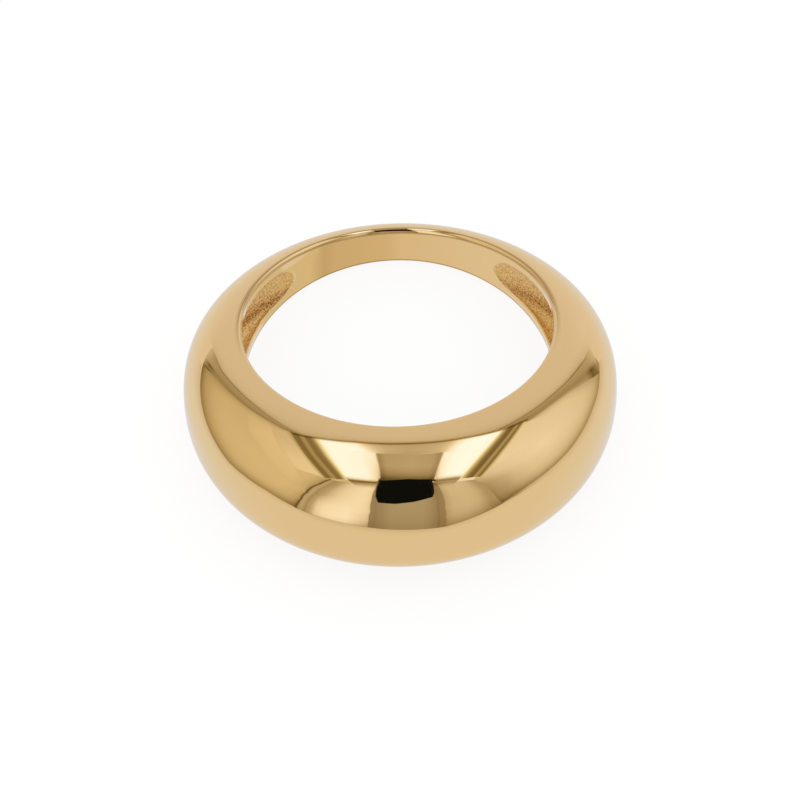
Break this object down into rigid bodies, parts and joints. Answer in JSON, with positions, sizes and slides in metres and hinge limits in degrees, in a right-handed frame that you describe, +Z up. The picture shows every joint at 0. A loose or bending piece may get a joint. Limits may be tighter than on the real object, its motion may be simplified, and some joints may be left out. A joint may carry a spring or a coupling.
{
  "type": "dome ring",
  "caption": "Finger ring with a tall rounded dome at the front that narrows into a slim shank, scooped hollow from inside, lying on its side.",
  "frame": {"origin": "On the surface the ring lies on, under the middle of its bounding box.", "axes": "+Z is up from that surface. +X runs across the ring to its right as seen from the dome, which faces -Y, and the slim shank is towards +Y. The finger hole's axis leans back from +Z by about 5.4 degrees, as the ring rests on its lower edge."},
  "size_m": [0.0238, 0.0246, 0.0068],
  "materials": {
    "ring_metal": "polished"
  },
  "bodies": {
    "root": {"ring": "ring_metal"}
  },
  "joints": []
}
